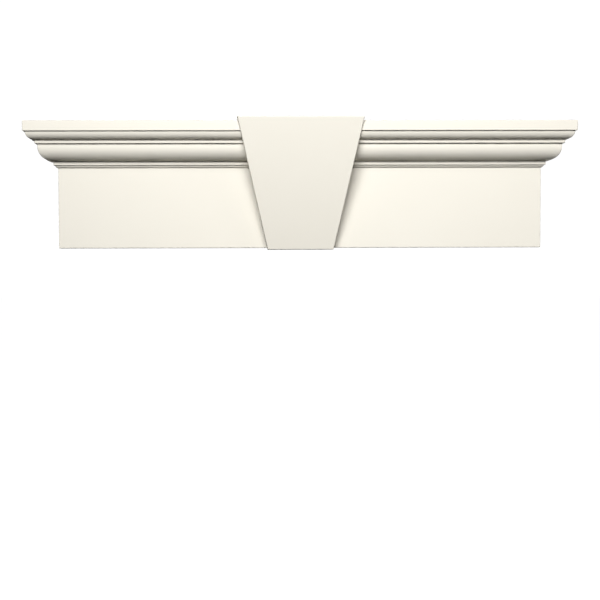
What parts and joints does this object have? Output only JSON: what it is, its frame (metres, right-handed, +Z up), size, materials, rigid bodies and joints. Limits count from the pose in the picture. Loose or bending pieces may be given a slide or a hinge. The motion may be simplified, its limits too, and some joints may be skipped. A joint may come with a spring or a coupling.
{
  "type": "window header",
  "caption": "Moulded window header with a flat panel, a crown moulding returned to the wall at both ends and a tapered keystone over its middle.",
  "frame": {"origin": "on the rim that meets the wall, at the middle of the panel's foot and of the rim's thickness", "axes": "+X along the header, to the right as seen from the front; +Y into the wall, out of the back; +Z up"},
  "size_m": [0.972, 0.1117, 0.2391],
  "materials": {
    "header_plastic": "smooth cream, satin, solid colour through the wall",
    "keystone_plastic": "smooth cream, satin, solid colour through the wall"
  },
  "bodies": {
    "root": {"header": "header_plastic", "keystone": "keystone_plastic"}
  },
  "joints": []
}
